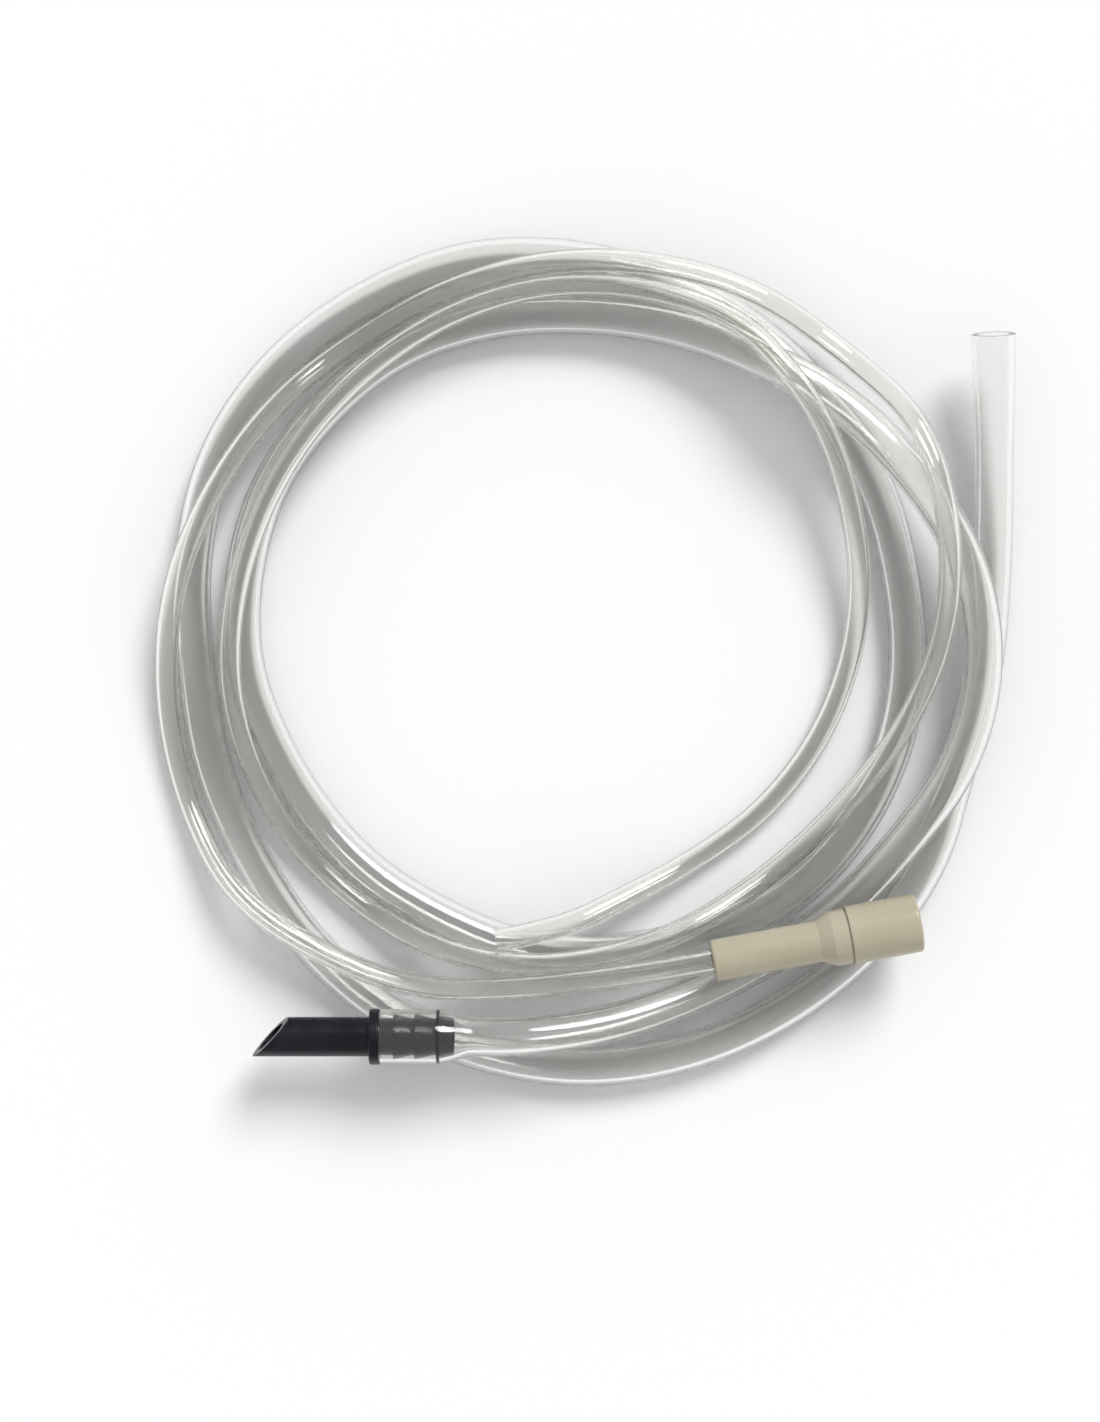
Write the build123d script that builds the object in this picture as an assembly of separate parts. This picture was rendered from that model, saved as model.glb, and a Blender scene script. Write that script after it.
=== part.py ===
from build123d import *
import math
import os

# Gravel vacuum siphon: two clear hoses laid in one loose coil, with a slant-cut intake fitting on the thick one
# and a reducing sleeve on the thin one. Millimetres. +Z up, floor at Z = 0, origin under the middle of the coil.

# ---- driving dimensions ----
SIPHON_OD = 10.0          # thick hose
SIPHON_ID = 7.0
STARTER_OD = 6.0          # thin hose
STARTER_ID = 4.0

TIP_OD = 10.0             # intake fitting, from its slant-cut end to its nose
FITTING_BORE = 6.8
TIP_LENGTH = 30.0         # longest side of the tip, flange to point
MOUTH_SLANT = 47.0        # angle between the cut and the tube's axis, degrees
MOUTH_ROLL = 15.0         # how far the cut is turned up towards +Z, degrees
FLANGE_OD = 14.2
FLANGE_THICKNESS = 2.6
STEM_LENGTH = 19.0
STEM_CORE_OD = 9.4
BARB_OD = 11.5
BARB_COUNT = 3
BARB_PITCH = 5.4
FIRST_BARB = 3.6          # flange to the first sharp rim
BARB_TAPER = 4.4          # length of the slope behind each rim
BARB_RIM = 0.3            # width of the flat on each rim
FLANGE_ROUNDING = 0.5
NOSE_CHAMFER = 0.6

MOUTH_WALL = 1.2          # wall of the hose where it is stretched over the barbs
MOUTH_STRETCH = 15.0      # length that stays stretched
MOUTH_NECK = 3.1          # length over which the hose closes down past the nose
BELL_ID = 8.2             # bare end of the thick hose, opened out by use
BELL_LENGTH = 12.0
BELL_CONE = 4.0

SLEEVE_NARROW_OD = 10.8   # reducing sleeve, from the thin hose's end to the open end
SLEEVE_NARROW_LENGTH = 27.5
SLEEVE_CONE_LENGTH = 3.5
COLLAR_OD = 14.2
COLLAR_LENGTH = 4.5
SLEEVE_WIDE_OD = 15.0
SLEEVE_WIDE_LENGTH = 18.0
RING_GROOVE = 0.5         # width of the ring groove at the collar
RING_DEPTH = 0.4
STARTER_SOCKET = 16.0     # how deep the thin hose goes in
SIPHON_SOCKET = 20.0      # how deep a thick hose would go in
THROAT_BORE = 4.4
SLEEVE_EDGE = 0.8         # rounding of the sleeve's ends

SLIP_FIT = 0.05           # radial clearance where a piece pulls off
SEAT_GAP = 0.3            # clearance to what a loose piece rests on
LAY_GAP = 0.4             # how much taller a layer of coil is than its hose
COIL_ROUNDING = 3.0
CUT_PAST = 1.0            # how far a bore's cutter runs past an open end

# ---- heights, worked out from the hoses ----
LOWER_TOP = SIPHON_OD + LAY_GAP
LOWER_LAY = LOWER_TOP / 2
UPPER_TOP = LOWER_TOP + STARTER_OD + LAY_GAP
UPPER_LAY = (LOWER_TOP + UPPER_TOP) / 2
STARTER_FLOOR = STARTER_OD / 2 + LAY_GAP / 2
FITTING_Z = LOWER_TOP + FLANGE_OD / 2 + SEAT_GAP
SLEEVE_Z = LOWER_TOP + SLEEVE_WIDE_OD / 2 + SEAT_GAP

# ---- where the pieces lie ----
COIL_CENTRE = (-1.0, -0.2)
FLANGE_FACE = (-52.9, -96.1)      # hose side of the flange; the fitting points along -X from here
SLEEVE_END = (32.0, -76.9)        # narrow end of the sleeve
SLEEVE_BEARING = 10.7             # degrees from +X to the sleeve's axis

# Outlines of the two layers of coil: bearing in degrees, inner radius, outer radius.
SIPHON_BAND = [
    (0, 79.8, 109.5),
    (30, 83.4, 103.5),
    (60, 86.3, 104.5),
    (90, 87.3, 110.2),
    (115, 90.0, 115.5),
    (135, 90.7, 117.3),
    (155, 88.8, 113.0),
    (180, 83.8, 106.5),
    (210, 74.9, 104.5),
    (240, 71.2, 108.0),
    (270, 70.9, 110.5),
    (300, 74.0, 108.5),
    (330, 78.2, 105.8),
]
STARTER_BAND = [
    (0, 87.0, 95.0),
    (25, 87.0, 105.5),
    (45, 85.0, 109.0),
    (60, 90.5, 109.0),
    (90, 92.0, 107.0),
    (120, 92.0, 106.5),
    (150, 89.0, 108.0),
    (180, 88.0, 110.3),
    (205, 86.0, 111.6),
    (225, 81.5, 107.5),
    (243, 80.0, 96.0),
    (260, 78.0, 84.5),
    (280, 73.5, 79.5),
    (305, 69.3, 75.8),
    (330, 72.6, 79.5),
    (347, 78.6, 86.0),
]

# Routes of the four stretches of hose that lie clear of the coil.
INLET_ROUTE = [
    (-14.0, -96.1, FITTING_Z),
    (8.0, -93.0, FITTING_Z - 4.6),
    (28.0, -86.5, LOWER_LAY + 2.2),
    (47.0, -77.0, LOWER_LAY),
]
OUTLET_ROUTE = [
    (96.5, -28.0, LOWER_LAY),
    (104.0, -4.0, LOWER_LAY),
    (106.4, 24.0, LOWER_LAY + 0.6),
    (106.2, 54.0, LOWER_LAY + 5.0),
    (104.6, 84.0, LOWER_LAY + 14.0),
]
FREE_END_ROUTE = [
    (-23.4, -71.9, UPPER_LAY + 0.2),
    (-7.0, -69.0, UPPER_LAY + 0.2),
    (9.0, -61.4, UPPER_LAY - 4.0),
    (28.0, -51.8, STARTER_FLOOR),
    (46.5, -38.8, STARTER_FLOOR),
    (61.0, -20.5, STARTER_FLOOR),
    (69.6, 0.5, STARTER_FLOOR + 0.6),
    (71.6, 22.0, UPPER_LAY - 4.0),
    (68.0, 43.0, UPPER_LAY),
    (62.5, 58.5, UPPER_LAY),
    (53.8, 71.5, UPPER_LAY),
]
SLEEVE_END_ROUTE = [
    (-62.0, -78.5, UPPER_LAY),
    (-41.0, -84.6, UPPER_LAY),
    (-16.5, -84.2, UPPER_LAY + 0.4),
]


def section(plane, outer, inner=0.0):
    """Ring, or disc where inner is 0, on a plane."""
    ring = Circle(outer / 2)
    if inner:
        ring -= Circle(inner / 2)
    return plane * ring


def corner_radii(points):
    """Radius of the arc at each corner of a route, as large as its two runs allow."""
    radii = []
    for before, corner, after in zip(points, points[1:], points[2:]):
        arriving = Vector(*corner) - Vector(*before)
        leaving = Vector(*after) - Vector(*corner)
        half_turn = math.radians(arriving.get_angle(leaving)) / 2
        radii.append(0.45 * min(arriving.length, leaving.length) / math.tan(half_turn))
    return radii


def hose(name, points, outer, inner):
    """Hollow hose along a route: straight runs joined by tangent arcs."""
    radii = corner_radii(points)
    route = FilletPolyline(*points, radius=radii)
    start = Plane(origin=route @ 0, z_dir=route % 0)
    tube = sweep(section(start, outer, inner), path=route)
    by_length = math.pi / 4 * (outer**2 - inner**2) * route.length
    print(
        f"{name}: {route.length:.1f} mm long, radii {[round(r) for r in radii]},",
        f"volume {tube.volume:.0f} against {by_length:.0f} mm3",
    )
    return tube, route


def coil_layer(band, bottom, top):
    """One layer of the coil: the outline of its turns, with rounded edges."""
    inner, outer = ([
        (
            COIL_CENTRE[0] + row[side] * math.cos(math.radians(row[0])),
            COIL_CENTRE[1] + row[side] * math.sin(math.radians(row[0])),
        )
        for row in band
    ] for side in (1, 2))
    outline = make_face(Spline(*outer, periodic=True)) - make_face(Spline(*inner, periodic=True))
    layer = extrude(Pos(0, 0, bottom) * outline, top - bottom)
    rims = layer.edges().group_by(Axis.Z)
    return fillet(rims[0] + rims[-1], min(COIL_ROUNDING, 0.4 * (top - bottom)))


def turned(profile, frame):
    """Body of revolution about the X axis of a profile of (along, radius) points, moved into a frame."""
    outline = make_face(Polyline(*profile, close=True))
    return frame * revolve(outline, Axis.X)


def fitting_frame():
    """Frame of the intake fitting: X runs from the flange's hose side towards the hose."""
    return Location((*FLANGE_FACE, FITTING_Z))


def sleeve_frame():
    """Frame of the sleeve: X runs from its narrow end to its wide end."""
    return Location((*SLEEVE_END, SLEEVE_Z), (0, 0, SLEEVE_BEARING))


def on_sleeve_axis(along):
    """Point on the sleeve's axis, at a distance from its narrow end."""
    return tuple((sleeve_frame() * Pos(along, 0, 0)).position)


def intake_fitting():
    """Slant-cut tip, flange and barbed stem, bored right through."""
    core = STEM_CORE_OD / 2
    bore = FITTING_BORE / 2
    tip_end = -FLANGE_THICKNESS - TIP_LENGTH
    profile = [
        (tip_end, bore),
        (tip_end, TIP_OD / 2),
        (-FLANGE_THICKNESS, TIP_OD / 2),
        (-FLANGE_THICKNESS, FLANGE_OD / 2),
        (0, FLANGE_OD / 2),
        (0, core),
    ]
    for number in range(BARB_COUNT):
        rim = FIRST_BARB + number * BARB_PITCH
        profile += [(rim, core), (rim, BARB_OD / 2), (rim + BARB_RIM, BARB_OD / 2), (rim + BARB_TAPER, core)]
    profile += [(STEM_LENGTH - NOSE_CHAMFER, core), (STEM_LENGTH, core - NOSE_CHAMFER), (STEM_LENGTH, bore)]
    body = turned(profile, Location())
    flange_rims = body.edges().filter_by(GeomType.CIRCLE).sort_by(lambda edge: -edge.radius)[:2]
    body = fillet(flange_rims, FLANGE_ROUNDING)
    # The mouth: everything beyond a slanted plane through the tip's point is cut off.
    slant = math.radians(MOUTH_SLANT)
    cut = Plane(origin=(tip_end, -TIP_OD / 2, 0), z_dir=(-math.sin(slant), math.cos(slant), 0))
    waste = TIP_LENGTH + TIP_OD
    body -= extrude(cut * Rectangle(2 * waste, 2 * waste), waste)
    return fitting_frame() * Rot(MOUTH_ROLL, 0, 0) * body


def inlet_end():
    """Thick hose from its mouth, stretched over the barbs, to the coil."""
    barbs = BARB_OD / 2 + SLIP_FIT
    nose = STEM_CORE_OD / 2 + SLIP_FIT
    nose_end = STEM_LENGTH + SEAT_GAP
    neck_end = nose_end + MOUTH_NECK
    mouth = turned(
        [
            (SLIP_FIT, barbs),
            (SLIP_FIT, barbs + MOUTH_WALL),
            (MOUTH_STRETCH, barbs + MOUTH_WALL),
            (nose_end, nose + MOUTH_WALL),
            (neck_end, SIPHON_OD / 2),
            (neck_end, SIPHON_ID / 2),
            (nose_end, nose),
            (MOUTH_STRETCH, barbs),
        ],
        fitting_frame(),
    )
    start = (FLANGE_FACE[0] + neck_end, FLANGE_FACE[1], FITTING_Z)
    tube, _ = hose("inlet end", [start, *INLET_ROUTE], SIPHON_OD, SIPHON_ID)
    return mouth + tube


def outlet_end():
    """Thick hose from the coil to its bare end, which opens out into a short bell."""
    tube, route = hose("outlet end", OUTLET_ROUTE, SIPHON_OD, SIPHON_ID)
    bell_wall = SIPHON_OD - SIPHON_ID
    bell_start = -(BELL_LENGTH + BELL_CONE)
    outwards = route % 1
    mouth = Location(Plane(origin=route @ 1, x_dir=outwards, z_dir=outwards.cross(Vector(1, 0, 0))))
    bell = turned(
        [
            (bell_start, SIPHON_ID / 2),
            (bell_start, SIPHON_OD / 2),
            (-BELL_LENGTH, (BELL_ID + bell_wall) / 2),
            (0, (BELL_ID + bell_wall) / 2),
            (0, BELL_ID / 2),
            (-BELL_LENGTH, BELL_ID / 2),
        ],
        mouth,
    )
    bore = turned(
        [
            (bell_start, 0),
            (bell_start, SIPHON_ID / 2),
            (-BELL_LENGTH, BELL_ID / 2),
            (CUT_PAST, BELL_ID / 2),
            (CUT_PAST, 0),
        ],
        mouth,
    )
    print("outlet mouth at", route @ 1, "pointing", tuple(outwards))
    return tube + bell - bore


def free_end():
    """Thin hose from its bare end, round the inside of the coil and up into it."""
    tube, route = hose("free end", FREE_END_ROUTE, STARTER_OD, STARTER_ID)
    print("free mouth at", route @ 0, "pointing", tuple(-(route % 0)))
    return tube


def sleeve_end():
    """Thin hose from the coil into the reducing sleeve."""
    points = [*SLEEVE_END_ROUTE, on_sleeve_axis(-STARTER_SOCKET), on_sleeve_axis(STARTER_SOCKET)]
    tube, _ = hose("sleeve end", points, STARTER_OD, STARTER_ID)
    return tube


def reducing_sleeve():
    """Narrow tube for the thin hose, collar with a ring groove, and a wide open tube for the thick one."""
    collar = SLEEVE_NARROW_LENGTH + SLEEVE_CONE_LENGTH
    wide = collar + COLLAR_LENGTH
    end = wide + SLEEVE_WIDE_LENGTH
    starter = STARTER_OD / 2 + SLIP_FIT
    siphon = SIPHON_OD / 2
    throat = THROAT_BORE / 2
    stop = STARTER_SOCKET + SEAT_GAP
    outside = turned(
        [
            (0, 0),
            (0, SLEEVE_NARROW_OD / 2),
            (SLEEVE_NARROW_LENGTH, SLEEVE_NARROW_OD / 2),
            (collar, COLLAR_OD / 2),
            (wide - RING_GROOVE, COLLAR_OD / 2),
            (wide - RING_GROOVE, COLLAR_OD / 2 - RING_DEPTH),
            (wide, COLLAR_OD / 2 - RING_DEPTH),
            (wide, SLEEVE_WIDE_OD / 2),
            (end, SLEEVE_WIDE_OD / 2),
            (end, 0),
        ],
        Location(),
    )
    ends = outside.edges().filter_by(GeomType.CIRCLE).group_by(Axis.X)
    outside = fillet(ends[0] + ends[-1], SLEEVE_EDGE)
    inside = turned(
        [
            (-CUT_PAST, 0),
            (-CUT_PAST, starter),
            (stop, starter),
            (stop, throat),
            (end - SIPHON_SOCKET, throat),
            (end - SIPHON_SOCKET, siphon),
            (end + CUT_PAST, siphon),
            (end + CUT_PAST, 0),
        ],
        Location(),
    )
    return sleeve_frame() * (outside - inside)


def main():
    os.makedirs("parts", exist_ok=True)
    nodes = {
        "siphon_hose_coil": coil_layer(SIPHON_BAND, 0, LOWER_TOP),
        "siphon_hose_inlet_end": inlet_end(),
        "siphon_hose_outlet_end": outlet_end(),
        "starter_hose_coil": coil_layer(STARTER_BAND, LOWER_TOP, UPPER_TOP),
        "starter_hose_free_end": free_end(),
        "starter_hose_sleeve_end": sleeve_end(),
        "intake_fitting": intake_fitting(),
        "reducing_sleeve": reducing_sleeve(),
    }
    for name, shape in nodes.items():
        export_step(shape, f"parts/{name}.step")
    box = Compound(children=list(nodes.values())).bounding_box()
    print("whole object from", box.min, "to", box.max)


main()
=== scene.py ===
"""Looks of a gravel vacuum siphon: two clear hoses laid in one loose coil, a black slant-cut intake fitting
on the thick one and a milky reducing sleeve on the thin one. Metres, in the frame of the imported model."""
import logging
import math
from dataclasses import dataclass
from enum import Enum
from typing import Sequence

import bpy
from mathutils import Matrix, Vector


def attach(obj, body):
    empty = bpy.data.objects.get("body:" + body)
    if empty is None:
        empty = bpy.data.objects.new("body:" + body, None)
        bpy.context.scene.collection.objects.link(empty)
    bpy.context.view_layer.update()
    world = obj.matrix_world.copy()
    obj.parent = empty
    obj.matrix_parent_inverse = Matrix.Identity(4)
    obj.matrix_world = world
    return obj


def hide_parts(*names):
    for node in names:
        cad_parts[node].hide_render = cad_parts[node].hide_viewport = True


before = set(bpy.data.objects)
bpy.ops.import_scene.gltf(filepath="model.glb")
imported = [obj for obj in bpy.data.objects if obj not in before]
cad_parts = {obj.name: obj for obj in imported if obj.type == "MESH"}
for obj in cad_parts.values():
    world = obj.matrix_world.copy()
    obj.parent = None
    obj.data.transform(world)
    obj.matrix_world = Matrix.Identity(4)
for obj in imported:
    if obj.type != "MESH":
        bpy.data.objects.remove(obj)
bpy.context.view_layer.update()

LOG = logging.getLogger("siphon")

Point = tuple[float, float, float]
Mark = tuple[float, float]

# The CAD body that both hoses ride on.
HOSES_BODY = "hoses"

# Levels of a hose's centre above the floor, in metres, as in the CAD.
SIPHON_LAY = 0.0052
STARTER_FLOOR = 0.0032
STARTER_LAY = 0.0136
FITTING_Z = 0.0178
SLEEVE_Z = 0.0182

# Levels where a strand lies on others.
SIPHON_ON_SIPHON = 0.0155
STARTER_ON_SIPHON = 0.013
STARTER_ON_BOTH = 0.0238


class Face(Enum):
    """Material slots of a hose's mesh."""

    WALL = 0
    CUT_END = 1


def between(marks: Sequence[Mark], where: float) -> float:
    """Value at a place among (place, value) marks, in straight lines from mark to mark.

    Args:
        marks: The marks, in rising order of place.
        where: The place to read.

    Returns:
        The value there, or the first or last one beyond the marks.
    """
    if where <= marks[0][0]:
        return marks[0][1]
    for (here, value), (there, following) in zip(marks, marks[1:]):
        if where <= there:
            return value + (following - value) * (where - here) / (there - here)
    return marks[-1][1]


# ---------------------------------------------------------------------------------------------- finishes


class MouldedSurface:
    """Shader node group for the faint unevenness that every soft or moulded plastic surface has."""

    NAME = "moulded surface"
    INPUTS = (
        ("Scale", "NodeSocketFloat"),
        ("Clean Colour", "NodeSocketColor"),
        ("Hazy Colour", "NodeSocketColor"),
        ("Clean Roughness", "NodeSocketFloat"),
        ("Hazy Roughness", "NodeSocketFloat"),
    )
    OUTPUTS = (("Colour", "NodeSocketColor"), ("Roughness", "NodeSocketFloat"), ("Height", "NodeSocketFloat"))
    CLOUD_DETAIL = 3.0  # octaves of the haze
    GRAIN_DETAIL = 2.0  # octaves of the fine grain
    GRAIN_FINENESS = 9.0  # cells of grain to one of haze
    HAZE = (0.38, 0.66)  # noise values where the surface is clean and where it is hazy

    @classmethod
    def group(cls) -> bpy.types.NodeTree:
        """The group, built the first time it is asked for."""
        if cls.NAME in bpy.data.node_groups:
            return bpy.data.node_groups[cls.NAME]
        tree = bpy.data.node_groups.new(cls.NAME, "ShaderNodeTree")
        for name, kind in cls.INPUTS:
            tree.interface.new_socket(name, in_out="INPUT", socket_type=kind)
        for name, kind in cls.OUTPUTS:
            tree.interface.new_socket(name, in_out="OUTPUT", socket_type=kind)
        nodes, links = tree.nodes, tree.links
        entry = nodes.new("NodeGroupInput")
        leave = nodes.new("NodeGroupOutput")
        place = nodes.new("ShaderNodeTexCoord")
        cloud = nodes.new("ShaderNodeTexNoise")
        cloud.inputs["Detail"].default_value = cls.CLOUD_DETAIL
        grain = nodes.new("ShaderNodeTexNoise")
        grain.inputs["Detail"].default_value = cls.GRAIN_DETAIL
        finer = nodes.new("ShaderNodeMath")
        finer.operation = "MULTIPLY"
        finer.inputs[1].default_value = cls.GRAIN_FINENESS
        mask = nodes.new("ShaderNodeMapRange")
        mask.inputs["From Min"].default_value = cls.HAZE[0]
        mask.inputs["From Max"].default_value = cls.HAZE[1]
        colour = nodes.new("ShaderNodeMix")
        colour.data_type = "RGBA"
        rough = nodes.new("ShaderNodeMix")
        rough.data_type = "FLOAT"
        links.new(place.outputs["Object"], cloud.inputs["Vector"])
        links.new(place.outputs["Object"], grain.inputs["Vector"])
        links.new(entry.outputs["Scale"], cloud.inputs["Scale"])
        links.new(entry.outputs["Scale"], finer.inputs[0])
        links.new(finer.outputs[0], grain.inputs["Scale"])
        links.new(cloud.outputs["Fac"], mask.inputs["Value"])
        links.new(mask.outputs["Result"], colour.inputs["Factor"])
        links.new(mask.outputs["Result"], rough.inputs["Factor"])
        links.new(entry.outputs["Clean Colour"], colour.inputs["A"])
        links.new(entry.outputs["Hazy Colour"], colour.inputs["B"])
        links.new(entry.outputs["Clean Roughness"], rough.inputs["A"])
        links.new(entry.outputs["Hazy Roughness"], rough.inputs["B"])
        links.new(colour.outputs["Result"], leave.inputs["Colour"])
        links.new(rough.outputs["Result"], leave.inputs["Roughness"])
        links.new(grain.outputs["Fac"], leave.inputs["Height"])
        return tree


@dataclass(frozen=True)
class Plastic:
    """One plastic finish.

    Attributes:
        name: Name of the material.
        clean: Colour where the surface is clean, linear.
        hazy: Colour where it is hazy or scuffed, linear.
        roughness: Roughness where clean and where hazy.
        scale: Size of the unevenness, in noise cells per metre.
        bump: Height of the fine grain, in metres.
        ior: Index of refraction.
        transmission: How much light passes through.
    """

    name: str
    clean: Point
    hazy: Point
    roughness: tuple[float, float]
    scale: float
    bump: float
    ior: float
    transmission: float = 0.0

    def material(self) -> bpy.types.Material:
        """The finish as a node material.

        Returns:
            A material with the shared surface group feeding one Principled shader.
        """
        if self.name in bpy.data.materials:
            return bpy.data.materials[self.name]
        made = bpy.data.materials.new(self.name)
        made.use_nodes = True
        nodes, links = made.node_tree.nodes, made.node_tree.links
        shader = nodes["Principled BSDF"]
        shader.inputs["IOR"].default_value = self.ior
        shader.inputs["Transmission Weight"].default_value = self.transmission
        surface = nodes.new("ShaderNodeGroup")
        surface.node_tree = MouldedSurface.group()
        surface.inputs["Scale"].default_value = self.scale
        surface.inputs["Clean Colour"].default_value = (*self.clean, 1.0)
        surface.inputs["Hazy Colour"].default_value = (*self.hazy, 1.0)
        surface.inputs["Clean Roughness"].default_value = self.roughness[0]
        surface.inputs["Hazy Roughness"].default_value = self.roughness[1]
        bump = nodes.new("ShaderNodeBump")
        bump.inputs["Strength"].default_value = 1.0
        bump.inputs["Distance"].default_value = self.bump
        links.new(surface.outputs["Colour"], shader.inputs["Base Color"])
        links.new(surface.outputs["Roughness"], shader.inputs["Roughness"])
        links.new(surface.outputs["Height"], bump.inputs["Height"])
        links.new(bump.outputs["Normal"], shader.inputs["Normal"])
        return made


SOFT_PLASTIC_IOR = 1.53

CLEAR_SIPHON = Plastic(
    "clear soft plastic, thick hose",
    clean=(0.974, 0.974, 0.965),
    hazy=(0.955, 0.955, 0.94),
    roughness=(0.015, 0.045),
    scale=25.0,
    bump=0.0000015,
    ior=SOFT_PLASTIC_IOR,
    transmission=1.0,
)
CLEAR_STARTER = Plastic(
    "clear soft plastic, thin hose",
    clean=(0.972, 0.972, 0.952),
    hazy=(0.955, 0.955, 0.925),
    roughness=(0.02, 0.05),
    scale=30.0,
    bump=0.0000015,
    ior=SOFT_PLASTIC_IOR,
    transmission=1.0,
)
CUT_EDGE = Plastic(
    "cut end of clear hose",
    clean=(0.975, 0.98, 0.95),
    hazy=(0.955, 0.965, 0.925),
    roughness=(0.12, 0.22),
    scale=400.0,
    bump=0.000002,
    ior=SOFT_PLASTIC_IOR,
    transmission=1.0,
)
BLACK_MOULDING = Plastic(
    "moulded black plastic",
    clean=(0.0035, 0.0025, 0.007),
    hazy=(0.008, 0.006, 0.014),
    roughness=(0.24, 0.36),
    scale=140.0,
    bump=0.000005,
    ior=1.33,
)
MILKY_SLEEVE = Plastic(
    "milky soft plastic",
    clean=(0.60, 0.55, 0.42),
    hazy=(0.545, 0.50, 0.355),
    roughness=(0.16, 0.26),
    scale=55.0,
    bump=0.000003,
    ior=1.5,
    transmission=0.25,
)


# ------------------------------------------------------------------------------------------------- hoses


@dataclass(frozen=True)
class Turns:
    """The coiled length of a hose: its radius and height from bearing to bearing.

    Attributes:
        centre: Middle of the coil, seen from above.
        first: Bearing of the first control point, degrees counted on from turn to turn.
        last: Bearing of the last one.
        step: Bearing from point to point.
        radii: (bearing, radius) marks of the loose turns.
        heights: (bearing, height) marks where the hose climbs over a strand and comes down again.
    """

    centre: tuple[float, float]
    first: int
    last: int
    step: int
    radii: tuple[Mark, ...]
    heights: tuple[Mark, ...]

    def points(self) -> list[Point]:
        """Control points of the turns.

        Returns:
            One point per step, pushed out by as much as a smooth spline cuts inside its corners.
        """
        cuts_inside = math.cos(math.radians(self.step / 2))
        points = []
        for bearing in range(self.first, self.last + 1, self.step):
            radius = between(self.radii, bearing) / cuts_inside
            angle = math.radians(bearing)
            x = self.centre[0] + radius * math.cos(angle)
            y = self.centre[1] + radius * math.sin(angle)
            points.append((x, y, between(self.heights, bearing)))
        return points


# How far the ring next to a cut end stands from it, as a share of one step along the hose.
END_RING = 0.02


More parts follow.
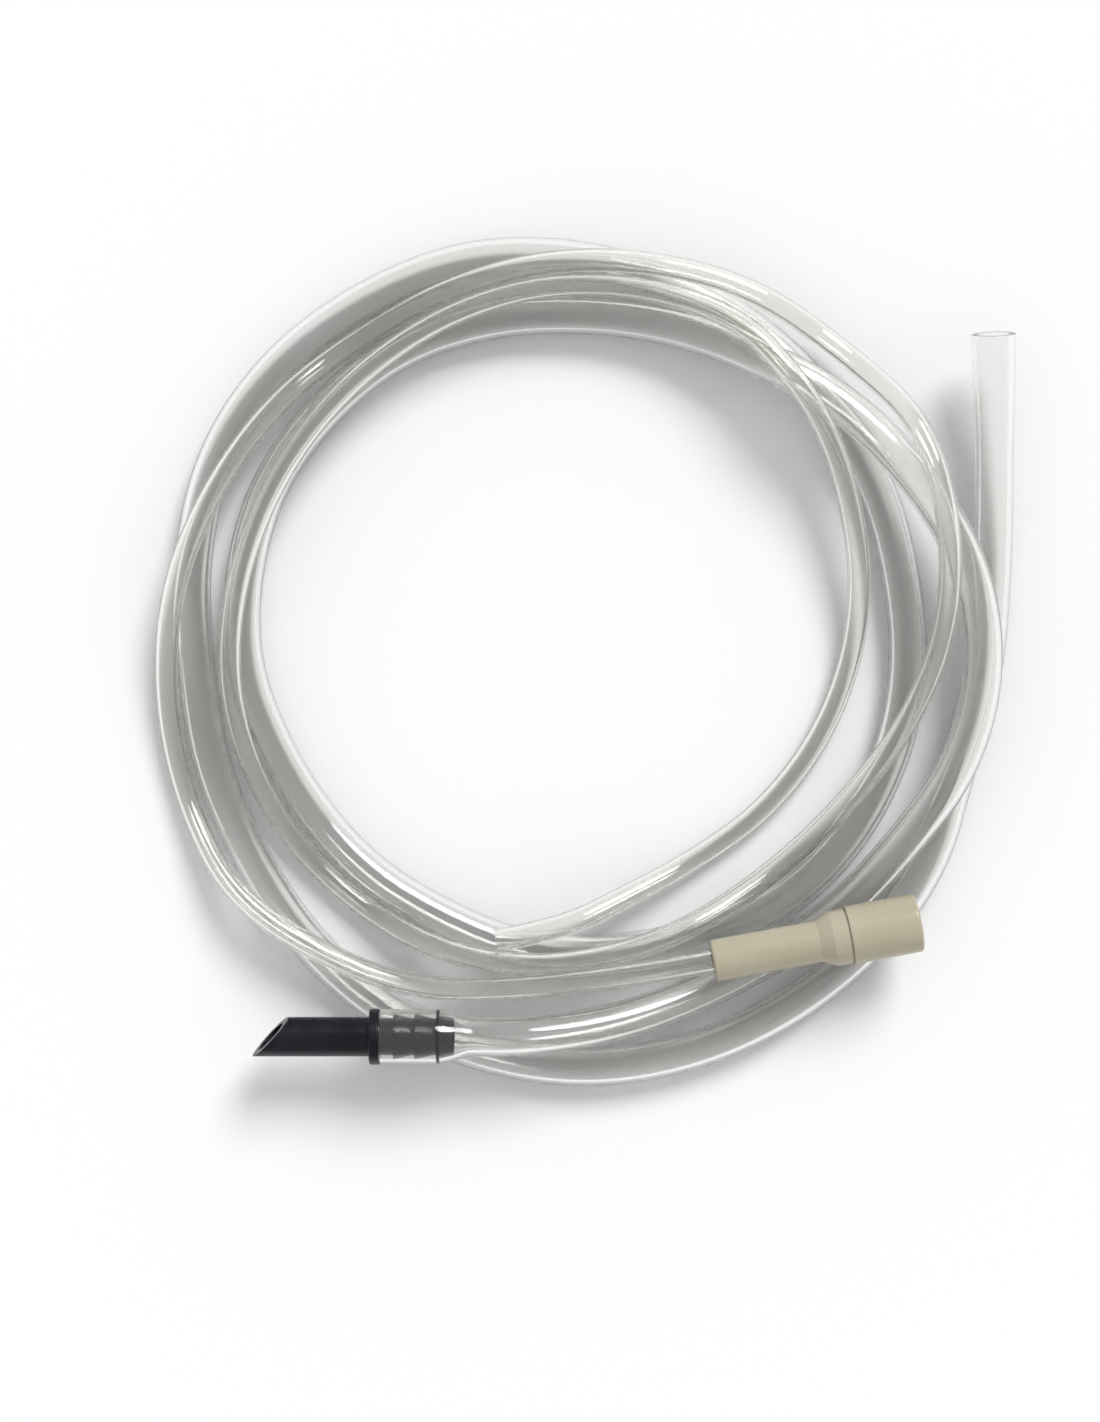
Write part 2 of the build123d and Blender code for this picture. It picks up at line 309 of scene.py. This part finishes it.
@dataclass
class Hose:
    """A clear hose of its real length, swept along one smooth line.

    Attributes:
        name: Name of the piece.
        slot: The record's material slot; not used.
        nodes: CAD nodes that it stands for.
        route: Control points of its line, end to end.
        exit: Where it leaves its fitting; not used.
        length: Its real length.
        diameter: Its outer diameter; not used.
        bore: (distance along, radius) marks of the bore.
        wall: (distance along, thickness) marks of the wall.
        finish: Finish of the walls.
        sides: Faces round the hose.
        smoothness: Points of the line from one control point to the next.
    """

    name: str
    slot: str
    nodes: tuple[str, ...]
    route: list[Point]
    exit: Point
    length: float
    diameter: float
    bore: list[Mark]
    wall: list[Mark]
    finish: Plastic
    sides: int = 36
    smoothness: int = 14

    def line(self) -> list[Vector]:
        """Points along the smooth line, read from a spline whose control points are the route."""
        curve = bpy.data.curves.new(self.name + "_line", "CURVE")
        curve.dimensions = "3D"
        curve.resolution_u = self.smoothness
        spline = curve.splines.new("NURBS")
        spline.points.add(len(self.route) - 1)
        for point, place in zip(spline.points, self.route):
            point.co = (*place, 1.0)
        spline.order_u = 3
        spline.use_endpoint_u = True
        holder = bpy.data.objects.new(self.name + "_line", curve)
        bpy.context.scene.collection.objects.link(holder)
        bpy.context.view_layer.update()
        seen = holder.evaluated_get(bpy.context.evaluated_depsgraph_get())
        mesh = bpy.data.meshes.new_from_object(seen)
        points = [vertex.co.copy() for vertex in mesh.vertices]
        bpy.data.objects.remove(holder)
        bpy.data.curves.remove(curve)
        bpy.data.meshes.remove(mesh)
        # One more point close to each end keeps the wall's shading from bending round onto the cut face.
        points.insert(1, points[0].lerp(points[1], END_RING))
        points.insert(-1, points[-1].lerp(points[-2], END_RING))
        return points

    def rings(self, line: list[Vector]) -> list[tuple[Vector, Vector, Vector, float]]:
        """Where each ring of the mesh goes.

        Args:
            line: Points along the hose.

        Returns:
            For each point: the point, two directions across the hose that don't twist, and the distance along.
        """
        across = Vector((0.0, 0.0, 1.0))
        along = 0.0
        found = []
        for number, point in enumerate(line):
            before = line[max(number - 1, 0)]
            after = line[min(number + 1, len(line) - 1)]
            heading = (after - before).normalized()
            along += (point - before).length
            across = (across - heading * across.dot(heading)).normalized()
            found.append((point, across.copy(), heading.cross(across), along))
        return found

    def mesh(self, line: list[Vector]) -> bpy.types.Mesh:
        """The hose as a closed tube with a bore and two cut ends.

        Args:
            line: Points along the hose.

        Returns:
            A mesh of quads: outside, far end, bore and near end.
        """
        rings = self.rings(line)
        total = rings[-1][3]
        LOG.info("%s: %.3f m along its line", self.name, total)
        vertices: list[Vector] = []
        for outside in (True, False):
            for point, across, aside, along in rings:
                place = along if along < total / 2 else self.length - (total - along)
                radius = between(self.bore, place) + (between(self.wall, place) if outside else 0.0)
                for side in range(self.sides):
                    angle = 2 * math.pi * side / self.sides
                    vertices.append(point + radius * (math.cos(angle) * across + math.sin(angle) * aside))
        count = len(rings)
        faces, ends = self.faces(count)
        mesh = bpy.data.meshes.new(self.name)
        mesh.from_pydata(vertices, [], faces + ends)
        mesh.validate()
        for polygon in mesh.polygons:
            polygon.use_smooth = polygon.index < len(faces)
            polygon.material_index = (Face.WALL if polygon.use_smooth else Face.CUT_END).value
        mesh.update()
        return mesh

    def faces(self, count: int) -> tuple[list[tuple[int, ...]], list[tuple[int, ...]]]:
        """Faces between the rings.

        Args:
            count: How many rings each wall has.

        Returns:
            The faces of the two walls, and those of the two ends.
        """
        sides = self.sides
        bore = count * sides
        walls: list[tuple[int, ...]] = []
        ends: list[tuple[int, ...]] = []
        for side in range(sides):
            after = (side + 1) % sides
            for ring in range(count - 1):
                low, high = ring * sides, (ring + 1) * sides
                walls.append((low + side, low + after, high + after, high + side))
                walls.append((bore + low + side, bore + high + side, bore + high + after, bore + low + after))
            last = (count - 1) * sides
            ends.append((side, bore + side, bore + after, after))
            ends.append((last + side, last + after, bore + last + after, bore + last + side))
        return walls, ends

    def build(self) -> bpy.types.Object:
        """Returns:
            The finished piece.
        """
        line = self.line()
        mesh = self.mesh(line)
        mesh.materials.append(self.finish.material())
        mesh.materials.append(CUT_EDGE.material())
        piece = bpy.data.objects.new(self.name, mesh)
        bpy.context.scene.collection.objects.link(piece)
        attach(piece, HOSES_BODY)
        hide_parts(*self.nodes)
        return piece


# ---------------------------------------------------------------------------------------- where they lie

COIL_CENTRE = (-0.001, -0.0002)

FLANGE_FACE = (-0.0529, -0.0961, FITTING_Z)
INLET_ROUTE: list[Point] = [
    (-0.05285, -0.0961, FITTING_Z),
    (-0.0305, -0.0961, FITTING_Z),
    (-0.014, -0.0961, FITTING_Z),
    (0.008, -0.093, 0.0132),
    (0.028, -0.0865, 0.0074),
    (0.047, -0.077, SIPHON_LAY),
]
OUTLET_ROUTE: list[Point] = [
    (0.0965, -0.028, SIPHON_LAY),
    (0.104, -0.004, SIPHON_LAY),
    (0.1064, 0.024, 0.0058),
    (0.1062, 0.054, 0.0102),
    (0.1046, 0.084, 0.0192),
]
SIPHON_TURNS = Turns(
    centre=COIL_CENTRE,
    first=315,
    last=1050,
    step=15,
    radii=(
        (315, 0.0925),
        (330, 0.0945),
        (345, 0.1005),
        (360, 0.1035),
        (375, 0.1025),
        (390, 0.098),
        (405, 0.0945),
        (420, 0.091),
        (450, 0.0915),
        (480, 0.0955),
        (510, 0.0945),
        (540, 0.0885),
        (555, 0.083),
        (570, 0.0795),
        (600, 0.075),
        (645, 0.076),
        (675, 0.0815),
        (705, 0.084),
        (735, 0.086),
        (765, 0.093),
        (795, 0.102),
        (825, 0.1105),
        (855, 0.112),
        (870, 0.1105),
        (900, 0.1005),
        (930, 0.0995),
        (960, 0.1035),
        (990, 0.105),
        (1020, 0.104),
        (1050, 0.104),
    ),
    heights=(
        (320, SIPHON_LAY),
        (340, SIPHON_ON_SIPHON),
        (407, SIPHON_ON_SIPHON),
        (424, 0.0128),
        (438, SIPHON_LAY),
    ),
)

SLEEVE_END = (0.032, -0.0769, SLEEVE_Z)
SLEEVE_BEARING = math.radians(10.7)
STARTER_SOCKET = 0.016


def on_sleeve_axis(along: float) -> Point:
    """Point on the sleeve's axis, at a distance from its narrow end."""
    x = SLEEVE_END[0] + along * math.cos(SLEEVE_BEARING)
    y = SLEEVE_END[1] + along * math.sin(SLEEVE_BEARING)
    return (x, y, SLEEVE_END[2])


FREE_END_ROUTE: list[Point] = [
    (-0.0234, -0.0719, 0.0138),
    (-0.007, -0.069, 0.0138),
    (0.009, -0.0614, 0.0096),
    (0.028, -0.0518, STARTER_FLOOR),
    (0.0465, -0.0388, STARTER_FLOOR),
    (0.061, -0.0205, STARTER_FLOOR),
    (0.0696, 0.0005, 0.0038),
    (0.0716, 0.022, 0.0096),
    (0.068, 0.043, STARTER_LAY),
    (0.0625, 0.0585, 0.0168),
    (0.0538, 0.0715, 0.0222),
]
SLEEVE_END_ROUTE: list[Point] = [
    (-0.062, -0.0785, STARTER_LAY),
    (-0.041, -0.0846, STARTER_LAY),
    (-0.0165, -0.0842, 0.014),
    on_sleeve_axis(-STARTER_SOCKET),
    on_sleeve_axis(STARTER_SOCKET),
]
STARTER_TURNS = Turns(
    centre=COIL_CENTRE,
    first=425,
    last=940,
    step=15,
    radii=(
        (425, 0.0965),
        (435, 0.098),
        (450, 0.0985),
        (465, 0.0975),
        (480, 0.095),
        (510, 0.092),
        (555, 0.091),
        (570, 0.088),
        (600, 0.083),
        (615, 0.0805),
        (630, 0.0765),
        (660, 0.072),
        (675, 0.0735),
        (690, 0.0755),
        (705, 0.082),
        (720, 0.092),
        (735, 0.096),
        (750, 0.1055),
        (780, 0.1065),
        (810, 0.1045),
        (840, 0.1035),
        (870, 0.1045),
        (900, 0.109),
        (930, 0.109),
        (945, 0.105),
    ),
    heights=(
        (420, 0.0205),
        (436, 0.0135),
        (548, STARTER_ON_SIPHON),
        (565, STARTER_FLOOR),
        (592, STARTER_FLOOR),
        (606, STARTER_ON_SIPHON),
        (655, STARTER_ON_SIPHON),
        (673, STARTER_FLOOR),
        (683, 0.0035),
        (696, STARTER_ON_SIPHON),
        (720, STARTER_ON_SIPHON),
        (734, STARTER_ON_BOTH),
        (753, STARTER_ON_BOTH),
        (768, 0.006),
        (772, 0.006),
        (785, 0.0132),
        (821, 0.0132),
        (841, STARTER_FLOOR),
        (850, STARTER_FLOOR),
        (862, STARTER_ON_SIPHON),
        (893, 0.0135),
        (906, 0.0045),
        (924, STARTER_FLOOR),
        (936, 0.0134),
        (950, STARTER_LAY),
    ),
)

SIPHON_LENGTH = 1.48
SIPHON_DIAMETER = 0.010
SIPHON_BORE = 0.0035  # radius
SIPHON_WALL = 0.0015

STARTER_LENGTH = 1.21
STARTER_DIAMETER = 0.006
STARTER_BORE = 0.0020  # radius
STARTER_WALL = 0.0010

# The thick hose's mouth, stretched over the barbs: where it starts to close down, where the fitting's nose
# ends, and where the hose has its own size again, from its end.
MOUTH_BORE = 0.0058
MOUTH_WALL = 0.0012
MOUTH_STRETCH = 0.015
NOSE_END = 0.0193
NOSE_BORE = 0.00475
NECK_END = 0.0224

# Its bare end, opened out by use: where the bell's edge, its cone and its first flare start, from its end.
BELL_BORE = 0.0041
BELL_LENGTH = 0.011
BELL_CONE_START = 0.014
BELL_CONE_BORE = 0.00395
BELL_FLARE_START = 0.030


def siphon_hose() -> Hose:
    """The thick hose: its mouth stretched over the barbs at one end, opened out by use at the other."""
    length = SIPHON_LENGTH
    return Hose(
        name="siphon_hose",
        slot="siphon_hose",
        nodes=("siphon_hose_coil", "siphon_hose_inlet_end", "siphon_hose_outlet_end"),
        route=INLET_ROUTE + SIPHON_TURNS.points() + OUTLET_ROUTE,
        exit=FLANGE_FACE,
        length=length,
        diameter=SIPHON_DIAMETER,
        bore=[
            (MOUTH_STRETCH, MOUTH_BORE),
            (NOSE_END, NOSE_BORE),
            (NECK_END, SIPHON_BORE),
            (length - BELL_FLARE_START, SIPHON_BORE),
            (length - BELL_CONE_START, BELL_CONE_BORE),
            (length - BELL_LENGTH, BELL_BORE),
        ],
        wall=[(NOSE_END, MOUTH_WALL), (NECK_END, SIPHON_WALL)],
        finish=CLEAR_SIPHON,
    )


def starter_hose() -> Hose:
    """The thin hose, from its bare end among the turns to the sleeve that it is pushed into."""
    return Hose(
        name="starter_hose",
        slot="starter_hose",
        nodes=("starter_hose_coil", "starter_hose_free_end", "starter_hose_sleeve_end"),
        route=FREE_END_ROUTE + STARTER_TURNS.points() + SLEEVE_END_ROUTE,
        exit=SLEEVE_END,
        length=STARTER_LENGTH,
        diameter=STARTER_DIAMETER,
        bore=[(0.0, STARTER_BORE)],
        wall=[(0.0, STARTER_WALL)],
        finish=CLEAR_STARTER,
        sides=28,
    )


# ---------------------------------------------------------------------------------------------- fittings


@dataclass(frozen=True)
class Moulding:
    """A hard piece whose CAD shape stays and gets its finish here.

    Attributes:
        node: The CAD node.
        finish: Its plastic.
    """

    node: str
    finish: Plastic

    def dress(self) -> bpy.types.Object:
        """Gives the CAD node its material."""
        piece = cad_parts[self.node]
        if not piece.data.materials:
            piece.data.materials.append(None)
        for slot in piece.material_slots:
            slot.material = self.finish.material()
        return piece


# ------------------------------------------------------------------------------------------------ studio


CAMERA_TARGET = (-0.0095, -0.0126, 0.008)


@dataclass
class Studio:
    """Camera, floor and light.

    Attributes:
        target: What the camera looks at.
        distance: How far off it stands.
        lean: How far it leans from straight above towards -Y, degrees.
        seen_height: Height of the view at the target.
        key_strength: Strength of the key light.
        key_angle: Apparent width of the key light, degrees.
        key_from: Direction that the key light comes from.
        sky: Brightness of the light that comes from all round.
        floor_reach: Half the floor's width.
        floor_drop: How far the floor lies under the coil, which keeps the two apart.
        floor_grey: Grey of the floor, linear.
        floor_roughness: Its roughness.
        bounces: How many surfaces light may pass.
    """

    target: Vector
    distance: float = 0.66
    lean: float = 2.0
    seen_height: float = 0.370
    key_strength: float = 2.0
    key_angle: float = 26.0
    key_from: Point = (0.45, 0.85, 0.95)
    sky: float = 0.63
    floor_reach: float = 6.0
    floor_drop: float = 0.0002
    floor_grey: float = 0.93
    floor_roughness: float = 0.9
    bounces: int = 32

    def camera(self) -> bpy.types.Object:
        """Stands the camera above the coil."""
        data = bpy.data.cameras.new("camera")
        data.sensor_fit = "VERTICAL"
        data.angle_y = 2 * math.atan(self.seen_height / 2 / self.distance)
        camera = bpy.data.objects.new("camera", data)
        lean = math.radians(self.lean)
        camera.location = self.target + self.distance * Vector((0.0, -math.sin(lean), math.cos(lean)))
        camera.rotation_euler = (lean, 0.0, 0.0)
        bpy.context.scene.collection.objects.link(camera)
        bpy.context.scene.camera = camera
        return camera

    def floor(self) -> bpy.types.Object:
        """Lays a wide pale floor just under the coil."""
        reach, under = self.floor_reach, -self.floor_drop
        mesh = bpy.data.meshes.new("floor")
        corners = [(x * reach, y * reach, under) for x, y in ((-1, -1), (1, -1), (1, 1), (-1, 1))]
        mesh.from_pydata(corners, [], [(0, 1, 2, 3)])
        paint = bpy.data.materials.new("pale floor")
        paint.use_nodes = True
        shader = paint.node_tree.nodes["Principled BSDF"]
        grey = self.floor_grey
        shader.inputs["Base Color"].default_value = (grey, grey, grey, 1.0)
        shader.inputs["Roughness"].default_value = self.floor_roughness
        shader.inputs["Specular IOR Level"].default_value = 0.0
        mesh.materials.append(paint)
        floor = bpy.data.objects.new("floor", mesh)
        bpy.context.scene.collection.objects.link(floor)
        return floor

    def light(self) -> None:
        """Hangs a large soft key light to the upper right and fills from all round."""
        data = bpy.data.lights.new("key", "SUN")
        data.energy = self.key_strength
        data.angle = math.radians(self.key_angle)
        key = bpy.data.objects.new("key", data)
        key.rotation_euler = Vector(self.key_from).to_track_quat("Z", "Y").to_euler()
        bpy.context.scene.collection.objects.link(key)
        world = bpy.data.worlds.new("studio")
        world.use_nodes = True
        sky = world.node_tree.nodes["Background"]
        sky.inputs["Color"].default_value = (1.0, 1.0, 1.0, 1.0)
        sky.inputs["Strength"].default_value = self.sky
        bpy.context.scene.world = world

    def settings(self) -> None:
        """Lets light pass the many walls of crossing hoses."""
        scene = bpy.context.scene
        scene.view_settings.view_transform = "Standard"
        scene.cycles.max_bounces = self.bounces
        scene.cycles.transmission_bounces = self.bounces
        scene.cycles.caustics_refractive = True


def main() -> None:
    """Builds the pieces in order: camera and cords first, then the fittings and the light."""
    logging.basicConfig(level=logging.INFO, format="%(name)s: %(message)s")
    studio = Studio(target=Vector(CAMERA_TARGET))
    studio.camera()
    for hose in (siphon_hose(), starter_hose()):
        piece = hose.build()
        LOG.info("%s: %d faces", piece.name, len(piece.data.polygons))
    for moulding in (Moulding("intake_fitting", BLACK_MOULDING), Moulding("reducing_sleeve", MILKY_SLEEVE)):
        piece = moulding.dress()
        LOG.info("%s: dressed in %s", piece.name, moulding.finish.name)
    studio.floor()
    studio.light()
    studio.settings()
    bpy.context.view_layer.update()


if __name__ == "__main__":
    main()
